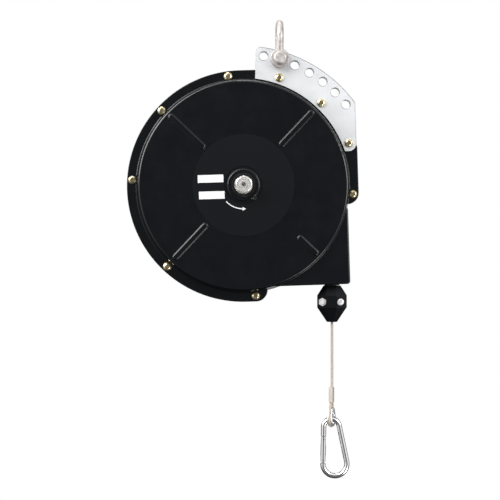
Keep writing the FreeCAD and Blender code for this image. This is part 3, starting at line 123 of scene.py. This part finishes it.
def banded(axis, stops):
    # a value set at several places along one direction, from -1 to 1
    spread = worldNodes.new("ShaderNodeMapRange")
    spread.inputs["From Min"].default_value = -1
    worldLinks.new(direction.outputs[axis], spread.inputs["Value"])
    ramp = worldNodes.new("ShaderNodeValToRGB")
    elements = ramp.color_ramp.elements
    while len(elements) < len(stops):
        elements.new(0.5)
    for element, (place, value) in zip(elements, stops):
        element.position = (place + 1) / 2
        element.color = (value, value, value, 1)
    worldLinks.new(spread.outputs["Result"], ramp.inputs["Fac"])
    return ramp.outputs["Color"]


def background(colour, strength):
    # one colour, with the same strength all round or one that changes
    shader = worldNodes.new("ShaderNodeBackground")
    shader.inputs["Color"].default_value = (*colour, 1)
    if isinstance(strength, float):
        shader.inputs["Strength"].default_value = strength
    else:
        worldLinks.new(strength, shader.inputs["Strength"])
    return shader.outputs["Background"]


def chosenBy(ray, otherwise, shown):
    # what one kind of ray meets, and what the others do
    mix = worldNodes.new("ShaderNodeMixShader")
    worldLinks.new(rays.outputs[ray], mix.inputs["Fac"])
    worldLinks.new(otherwise, mix.inputs[1])
    worldLinks.new(shown, mix.inputs[2])
    return mix.outputs["Shader"]


# the studio: white walls at the sides and behind, darker gaps between, a dark camera side and floor
studioWalls = [(-0.96, 0.12), (-0.84, 0.9), (-0.15, 1.0), (0.12, 0.16), (0.94, 0.14), (0.985, 1.0)]
dimming = worldNodes.new("ShaderNodeMath")
dimming.operation = "MULTIPLY"
worldLinks.new(banded("Y", studioWalls), dimming.inputs[0])
worldLinks.new(rising("Z", low=-0.75, high=0.0, bottom=0.08, top=1.0), dimming.inputs[1])
lit = background((0.93, 0.95, 1.0), rising("Z", low=-0.6, high=0.5, bottom=0.2, top=0.6))
mirrored = background((1, 1, 1), dimming.outputs["Value"])
white = background((1, 1, 1), 1.0)
surroundings = chosenBy("Is Glossy Ray", lit, mirrored)
surroundings = chosenBy("Is Transmission Ray", surroundings, white)
surroundings = chosenBy("Is Camera Ray", surroundings, white)
output = worldNodes.new("ShaderNodeOutputWorld")
worldLinks.new(surroundings, output.inputs["Surface"])
print("lamps and camera set")

# the cable: its route is the part's own, straight down, round the thimble and back into the ferrule
eyeTurn = math.radians(66)  # the eye lies in an upright plane turned by this much
strandShift = 0.0017  # half the distance between the cable's two lengths in the ferrule
cableSizes = dict(
    strands=6,
    strandRadius=0.00056,
    ringRadius=0.00104,
    pitch=0.021,
    core=0.0006,
    roundness=1,
    step=0.0011,
)
routePoints = [  # across the eye and up from the arbor's axis
    (0.0017, 0.0),
    (0.0017, -0.055),
    (0.0017, -0.11),
    (0.0017, -0.165),
    (0.0017, -0.205),
    (0.0017, -0.232),
    (0.0017, -0.2445),
    (0.0076, -0.2585),
    (0.0076, -0.2655),
    (0.0031, -0.2697),
    (-0.0031, -0.2697),
    (-0.0076, -0.2655),
    (-0.0076, -0.2585),
    (-0.0017, -0.2445),
    (-0.0017, -0.234),
    (-0.0017, -0.2247),
]


def alongEye(across, height):
    # a place in the eye's own plane, in the row frame
    sway = across - strandShift
    return (
        cableX + sway * math.cos(eyeTurn),
        sway * math.sin(eyeTurn),
        shaft.z + height,
    )


def openCurve(points, kind, name):
    # a curve of one open spline
    data = bpy.data.curves.new(name, "CURVE")
    data.dimensions = "3D"
    spline = data.splines.new(kind)
    spline.points.add(len(points) - 1)
    for point, place in zip(spline.points, points):
        point.co = (*place, 1)
    line = bpy.data.objects.new(name, data)
    scene.collection.objects.link(line)
    return line


def smoothPoints(points):
    # points along one smooth line that has the given ones as its control points
    route = openCurve(points, "NURBS", "CableRoute")
    spline = route.data.splines[0]
    spline.order_u = 3
    spline.use_endpoint_u = True
    spline.resolution_u = 14
    bpy.context.view_layer.update()
    mesh = bpy.data.meshes.new_from_object(route)
    found = [Vector(vertex.co) for vertex in mesh.vertices]
    bpy.data.objects.remove(route)
    return found


def evenly(points, step):
    # the same line with its points one step apart
    spaced = [points[0]]
    left = step
    for start, end in zip(points, points[1:]):
        run = (end - start).length
        reached = 0.0
        while run - reached >= left:
            reached += left
            spaced.append(start.lerp(end, reached / run))
            left = step
        left -= run - reached
    return spaced


def strandPoints(points, radius, pitch, phase):
    # a helix round the line, with the line's own directions carried along without twist
    side = Vector((0, 1, 0))
    travelled = 0.0
    found = []
    for number, point in enumerate(points):
        before = points[max(number - 1, 0)]
        after = points[min(number + 1, len(points) - 1)]
        heading = (after - before).normalized()
        side = (side - heading * side.dot(heading)).normalized()
        other = heading.cross(side)
        turn = phase + 2 * math.pi * travelled / pitch
        found.append(point + (side * math.cos(turn) + other * math.sin(turn)) * radius)
        travelled += (after - point).length
    return found


def wire(points, radius, name):
    # a round wire along the points
    tube = openCurve(points, "POLY", name)
    tube.data.bevel_depth = radius
    tube.data.bevel_resolution = cableSizes["roundness"]
    tube.data.use_fill_caps = True
    return tube


def joinAsMesh(pieces, name):
    bpy.ops.object.select_all(action="DESELECT")
    for piece in pieces:
        piece.select_set(True)
    bpy.context.view_layer.objects.active = pieces[0]
    bpy.ops.object.convert(target="MESH")
    bpy.ops.object.join()
    whole = bpy.context.object
    whole.name = name
    whole.data.name = name
    return whole


centreline = evenly(smoothPoints([alongEye(*point) for point in routePoints]), cableSizes["step"])
cableLength = sum((b - a).length for a, b in zip(centreline, centreline[1:]))
print("cable length", round(cableLength, 4))
wires = []
for number in range(cableSizes["strands"]):
    phase = 2 * math.pi * number / cableSizes["strands"]
    helix = strandPoints(centreline, cableSizes["ringRadius"], cableSizes["pitch"], phase)
    wires.append(wire(helix, cableSizes["strandRadius"], f"Strand{number}"))
wires.append(wire(centreline, cableSizes["core"], "StrandCore"))
cable = joinAsMesh(wires, "WireCable")
bpy.ops.object.shade_smooth()
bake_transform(cable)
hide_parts("cable_run")
print("cable made")


# materials: the shader's own values first, then what varies over the surface
def shaderOf(made):
    return made.node_tree.nodes["Principled BSDF"]


def material(name, **values):
    made = bpy.data.materials.new(name)
    made.use_nodes = True
    for socket, value in values.items():
        shaderOf(made).inputs[socket.replace("_", " ")].default_value = value
    return made


def objectSpace(made):
    return made.node_tree.nodes.new("ShaderNodeTexCoord").outputs["Object"]


def noiseOn(made, scale, detail):
    tree = made.node_tree
    noise = tree.nodes.new("ShaderNodeTexNoise")
    noise.inputs["Scale"].default_value = scale
    noise.inputs["Detail"].default_value = detail
    tree.links.new(objectSpace(made), noise.inputs["Vector"])
    return noise.outputs["Fac"]


def varied(made, socket, scale, low, high):
    # slow noise, which keeps mostly between 0.3 and 0.7, drives one socket between two values
    tree = made.node_tree
    spread = tree.nodes.new("ShaderNodeMapRange")
    spread.inputs["From Min"].default_value = 0.3
    spread.inputs["From Max"].default_value = 0.7
    spread.inputs["To Min"].default_value = low
    spread.inputs["To Max"].default_value = high
    tree.links.new(noiseOn(made, scale, detail=3.0), spread.inputs["Value"])
    tree.links.new(spread.outputs["Result"], shaderOf(made).inputs[socket])


def roughened(made, scale, strength):
    # fine noise as a bump, up to 0.2 mm deep at full strength
    tree = made.node_tree
    bump = tree.nodes.new("ShaderNodeBump")
    bump.inputs["Strength"].default_value = strength
    bump.inputs["Distance"].default_value = 0.0002
    tree.links.new(noiseOn(made, scale, detail=2.0), bump.inputs["Height"])
    tree.links.new(bump.outputs["Normal"], shaderOf(made).inputs["Normal"])
    return bump


def roundedCorners(made, radius):
    # the surface's direction, turned near an edge as if the edge were round
    corners = made.node_tree.nodes.new("ShaderNodeBevel")
    corners.samples = 8
    corners.inputs["Radius"].default_value = radius
    return corners.outputs["Normal"]


def softened(made, bump, radius):
    # paint that fills the corners a little
    made.node_tree.links.new(roundedCorners(made, radius), bump.inputs["Normal"])


def toned(made, amount, stops):
    # the base colour goes from tone to tone as the amount rises
    tree = made.node_tree
    ramp = tree.nodes.new("ShaderNodeValToRGB")
    for element, (place, colour) in zip(ramp.color_ramp.elements, stops):
        element.position = place
        element.color = (*colour, 1)
    tree.links.new(amount, ramp.inputs["Fac"])
    tree.links.new(ramp.outputs["Color"], shaderOf(made).inputs["Base Color"])


def mottled(made, scale, dark, light):
    # the base colour drifts between two tones
    toned(made, noiseOn(made, scale, detail=4.0), [(0.35, dark), (0.65, light)])


def turnMarks(made, scale, dark, light):
    # rings round the arbor's axis, as a lathe leaves them, broken up by noise
    tree = made.node_tree
    centred = tree.nodes.new("ShaderNodeMapping")
    centred.inputs["Location"].default_value = -shaft
    rings = tree.nodes.new("ShaderNodeTexWave")
    rings.wave_type = "RINGS"
    rings.rings_direction = "Y"
    rings.inputs["Scale"].default_value = scale
    rings.inputs["Distortion"].default_value = 9.0
    rings.inputs["Detail Scale"].default_value = 2.0
    tree.links.new(objectSpace(made), centred.inputs["Vector"])
    tree.links.new(centred.outputs["Vector"], rings.inputs["Vector"])
    toned(made, rings.outputs["Fac"], [(0.0, dark), (0.7, light)])


def paintEdgeShade(made, edge):
    # painted shade: where an edge turns to face up and to the right, the colour darkens from the sheet's
    # own towards a shade colour, as if that edge were in shadow
    tree = made.node_tree
    facing = tree.nodes.new("ShaderNodeVectorMath")
    facing.operation = "DOT_PRODUCT"
    facing.inputs[1].default_value = edge["facing"]
    amount = tree.nodes.new("ShaderNodeMapRange")
    amount.inputs["From Min"].default_value = edge["start"]
    amount.inputs["From Max"].default_value = edge["full"]
    blend = tree.nodes.new("ShaderNodeMix")
    blend.data_type = "RGBA"
    sockets = {socket.identifier: socket for socket in [*blend.inputs, *blend.outputs]}
    sheetColour = shaderOf(made).inputs["Base Color"].links[0].from_socket
    tree.links.new(roundedCorners(made, edge["radius"]), facing.inputs[0])
    tree.links.new(facing.outputs["Value"], amount.inputs["Value"])
    tree.links.new(amount.outputs["Result"], sockets["Factor_Float"])
    tree.links.new(sheetColour, sockets["A_Color"])
    sockets["B_Color"].default_value = (*edge["shade"], 1)
    tree.links.new(sockets["Result_Color"], shaderOf(made).inputs["Base Color"])


# black housing, its label and the white print
paint = material(
    "HousingPaint",
    Base_Color=(0.0015, 0.0022, 0.0036, 1),
    Roughness=0.2,
    Specular_IOR_Level=0.6,
)
varied(paint, "Roughness", scale=60, low=0.17, high=0.23)
softened(paint, roughened(paint, scale=900, strength=0.05), radius=0.0012)
film = material(
    "LabelFilm",
    Base_Color=(0.003, 0.0036, 0.005, 1),
    Roughness=0.45,
    Specular_IOR_Level=0.15,
)
roughened(film, scale=2600, strength=0.06)
ink = material(
    "WhiteInk",
    Base_Color=(0.78, 0.78, 0.77, 1),
    Roughness=0.55,
    Specular_IOR_Level=0.2,
)

# hanger plates, their screws and the shackle
plate = material("PlateSteel", Base_Color=(0.72, 0.73, 0.735, 1), Metallic=0.25, Roughness=0.35)
# painted shade along the plate's edges that face up and to the right
plateEdgePaintedShade = dict(radius=0.0014, start=0.05, full=0.4, facing=(0.6, 0.0, 0.8), shade=(0.1, 0.1, 0.1))
mottled(plate, scale=45, dark=(0.69, 0.7, 0.705), light=(0.75, 0.76, 0.77))
roughened(plate, scale=700, strength=0.06)
paintEdgeShade(plate, plateEdgePaintedShade)
yellowZinc = material("YellowZinc", Base_Color=(0.86, 0.74, 0.42, 1), Metallic=0.9, Roughness=0.14)
mottled(yellowZinc, scale=420, dark=(0.66, 0.5, 0.22), light=(1.0, 0.93, 0.7))
castZinc = material("GalvanisedShackle", Base_Color=(0.5, 0.47, 0.45, 1), Metallic=0.4, Roughness=0.42)
mottled(castZinc, scale=260, dark=(0.4, 0.37, 0.35), light=(0.62, 0.58, 0.56))
roughened(castZinc, scale=1300, strength=0.35)

# arbor, hook and the cable's fittings
turnedSteel = material("TurnedSteel", Base_Color=(0.8, 0.78, 0.74, 1), Metallic=0.6, Roughness=0.25)
turnMarks(turnedSteel, scale=170, dark=(0.42, 0.4, 0.36), light=(1.0, 0.98, 0.94))
polishedSteel = material("PolishedSteel", Base_Color=(0.88, 0.87, 0.88, 1), Metallic=1.0, Roughness=0.12)
varied(polishedSteel, "Roughness", scale=150, low=0.09, high=0.16)
zincSteel = material("ZincSteel", Base_Color=(0.75, 0.76, 0.78, 1), Metallic=0.75, Roughness=0.28)
mottled(zincSteel, scale=300, dark=(0.68, 0.69, 0.7), light=(0.82, 0.83, 0.85))
brightZinc = material("BrightZinc", Base_Color=(0.85, 0.84, 0.84, 1), Metallic=0.35, Roughness=0.22)
cableWire = material(
    "CableWire",
    Base_Color=(0.55, 0.48, 0.4, 1),
    Roughness=0.5,
    Specular_IOR_Level=0.2,
)
mottled(cableWire, scale=900, dark=(0.42, 0.36, 0.29), light=(0.62, 0.55, 0.47))
ferruleMetal = material("FerruleMetal", Base_Color=(0.6, 0.54, 0.47, 1), Metallic=0.35, Roughness=0.45)
stopPlastic = material(
    "StopPlastic",
    Base_Color=(0.002, 0.0024, 0.0035, 1),
    Roughness=0.5,
    Specular_IOR_Level=0.12,
)
roughened(stopPlastic, scale=1400, strength=0.12)

# the works inside the housing
darkSteel = material("DarkSteel", Base_Color=(0.22, 0.22, 0.23, 1), Metallic=0.9, Roughness=0.4)
blackRing = material("BlackRing", Base_Color=(0.02, 0.02, 0.022, 1), Metallic=0.7, Roughness=0.35)
springSteel = material("SpringSteel", Base_Color=(0.18, 0.19, 0.23, 1), Metallic=1.0, Roughness=0.32)
bronze = material("Bronze", Base_Color=(0.5, 0.34, 0.16, 1), Metallic=1.0, Roughness=0.42)
castDrum = material("CastDrum", Base_Color=(0.5, 0.51, 0.52, 1), Metallic=0.9, Roughness=0.48)
roughened(castDrum, scale=800, strength=0.1)
nylon = material(
    "BlackNylon",
    Base_Color=(0.012, 0.012, 0.013, 1),
    Roughness=0.5,
    Specular_IOR_Level=0.3,
)

# which pieces get which finish
finishes = {
    "front_cover rear_cover": paint,
    "label_plate": film,
    "hanger_plate_front hanger_plate_rear": plate,
    "flange_screws flange_nuts hanger_screws hanger_nuts": yellowZinc,
    "shackle_bow shackle_pin cotter_pin": castZinc,
    "drum_cover_screws cable_anchor cable_thimble": zincSteel,
    "stop_screws stop_nuts": brightZinc,
    "arbor": turnedSteel,
    "snap_hook gate": polishedSteel,
    "gate_hinge_pin gate_latch_pin": darkSteel,
    "ratchet_wheel ratchet_key pawl pawl_pivot spring_hub spring_post": darkSteel,
    "front_retaining_ring rear_retaining_ring": blackRing,
    "power_spring pawl_spring gate_spring": springSteel,
    "drum_front_bush drum_rear_bush thrust_washers": bronze,
    "cable_drum drum_cover": castDrum,
    "outlet_guide front_bush rear_bush": nylon,
    "cable_stop_front cable_stop_rear": stopPlastic,
    "cable_run wound_cable": cableWire,
    "cable_ferrule": ferruleMetal,
}
for names, finish in finishes.items():
    for name in names.split():
        nodes[name].data.materials.clear()
        nodes[name].data.materials.append(finish)
cable.data.materials.clear()
cable.data.materials.append(cableWire)
print("materials set")

# plain marks on the label, in millimetres along the housing's directions
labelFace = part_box("label_plate")[0].y * 1000
inkSizes = dict(stand=0.06, thickness=0.05)
fields = {
    "UpperField": dict(left=-50.3, right=-22.0, top=12.2, bottom=3.8),
    "LowerField": dict(left=-49.5, right=-21.2, top=-6.0, bottom=-14.4),
}
arrow = dict(radius=26.4, half=0.5, start=222, end=266, head=2.1, reach=8, parts=24)


def flatMark(name, outline):
    # a printed mark as a thin solid just off the film, from its corners
    mesh = bpy.data.meshes.new(name)
    mark = bpy.data.objects.new(name, mesh)
    scene.collection.objects.link(mark)
    corners = [inHousing(x, labelFace - inkSizes["stand"], z) for x, z in outline]
    mesh.from_pydata(corners, [], [list(range(len(corners)))])
    bpy.ops.object.select_all(action="DESELECT")
    mark.select_set(True)
    bpy.context.view_layer.objects.active = mark
    solid = mark.modifiers.new("Thickness", "SOLIDIFY")
    solid.thickness = inkSizes["thickness"] / 1000
    solid.offset = 0
    bpy.ops.object.modifier_apply(modifier="Thickness")
    mark.data.materials.append(ink)
    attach(mark, "housing")


def onRing(radius, angle):
    return radius * math.cos(math.radians(angle)), radius * math.sin(math.radians(angle))


for name, field in fields.items():
    left, right, top, bottom = field["left"], field["right"], field["top"], field["bottom"]
    flatMark(name, [(left, top), (left, bottom), (right, bottom), (right, top)])

sweep = arrow["end"] - arrow["start"]
angles = [arrow["start"] + sweep * part / arrow["parts"] for part in range(arrow["parts"] + 1)]
outerArc = [onRing(arrow["radius"] + arrow["half"], angle) for angle in angles]
innerArc = [onRing(arrow["radius"] - arrow["half"], angle) for angle in reversed(angles)]
arrowHead = [
    onRing(arrow["radius"] + arrow["head"], arrow["end"]),
    onRing(arrow["radius"], arrow["end"] + arrow["reach"]),
    onRing(arrow["radius"] - arrow["head"], arrow["end"]),
]
flatMark("TurnArrow", outerArc + arrowHead + innerArc)
print("marks set")
